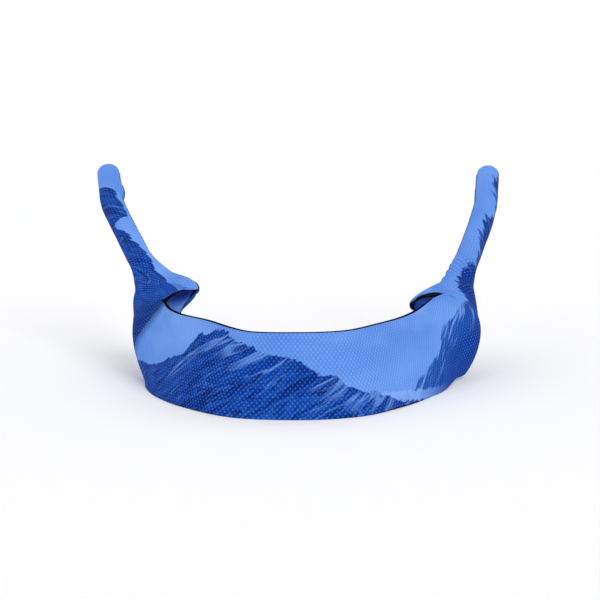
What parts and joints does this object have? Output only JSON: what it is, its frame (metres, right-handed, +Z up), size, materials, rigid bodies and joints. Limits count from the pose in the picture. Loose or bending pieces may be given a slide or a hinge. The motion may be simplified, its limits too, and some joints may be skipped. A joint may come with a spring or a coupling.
{
  "type": "eyeglass retainer strap",
  "caption": "Worn-shape eyewear retainer strap of fabric-faced neoprene: a leaning open band whose folded ears are sewn into round temple sleeves.",
  "frame": {"origin": "on the surface that the band's lower edge rests on, under the centre of the whole strap's bounding box", "axes": "+Z up across the band, +Y from the band towards the sleeve entries, +X to the wearer's right as the strap is seen from behind the head"},
  "size_m": [0.1518, 0.1664, 0.065],
  "materials": {
    "printed_knit": "matt rib knit with a printed pattern",
    "foam": "matt open cut foam",
    "lining_knit": "matt smooth knit",
    "thread": "twisted polyester thread"
  },
  "bodies": {
    "band": {"band_outer_fabric": "printed_knit", "band_foam_core": "foam", "band_lining_fabric": "lining_knit"},
    "left_wing": {"left_wing_outer_fabric": "printed_knit", "left_wing_foam_core": "foam", "left_wing_lining_fabric": "lining_knit", "left_mouth_seam_thread": "thread", "left_mouth_bartack": "thread"},
    "left_sleeve": {"left_sleeve_outer_fabric": "printed_knit", "left_sleeve_foam_core": "foam", "left_sleeve_lining_fabric": "lining_knit", "left_sleeve_seam_thread": "thread"},
    "right_wing": {"right_wing_outer_fabric": "printed_knit", "right_wing_foam_core": "foam", "right_wing_lining_fabric": "lining_knit", "right_mouth_seam_thread": "thread", "right_mouth_bartack": "thread"},
    "right_sleeve": {"right_sleeve_outer_fabric": "printed_knit", "right_sleeve_foam_core": "foam", "right_sleeve_lining_fabric": "lining_knit", "right_sleeve_seam_thread": "thread"}
  },
  "joints": [
    {"name": "left_wing_bend", "type": "hinge", "parent": "band", "child": "left_wing", "pos_m": [-0.04091, -0.04344, 0.0125], "axis": [0.2671, 0.1192, 0.9563], "range_deg": [-28, 55], "stiffness_Nm_per_rad": 0.02},
    {"name": "left_neck_droop", "type": "hinge", "parent": "left_wing", "child": "left_sleeve", "pos_m": [-0.05645, 0.02613, 0.0367], "axis": [0.9407, 0.3393, 0], "range_deg": [-30, 30], "stiffness_Nm_per_rad": 0.01},
    {"name": "right_wing_bend", "type": "hinge", "parent": "band", "child": "right_wing", "pos_m": [0.04029, -0.03944, 0.0125], "axis": [0.3061, -0.0956, -0.9472], "range_deg": [-28, 55], "stiffness_Nm_per_rad": 0.02},
    {"name": "right_neck_droop", "type": "hinge", "parent": "right_wing", "child": "right_sleeve", "pos_m": [0.05968, 0.0265, 0.0352], "axis": [0.9545, -0.2983, 0], "range_deg": [-30, 30], "stiffness_Nm_per_rad": 0.01}
  ]
}
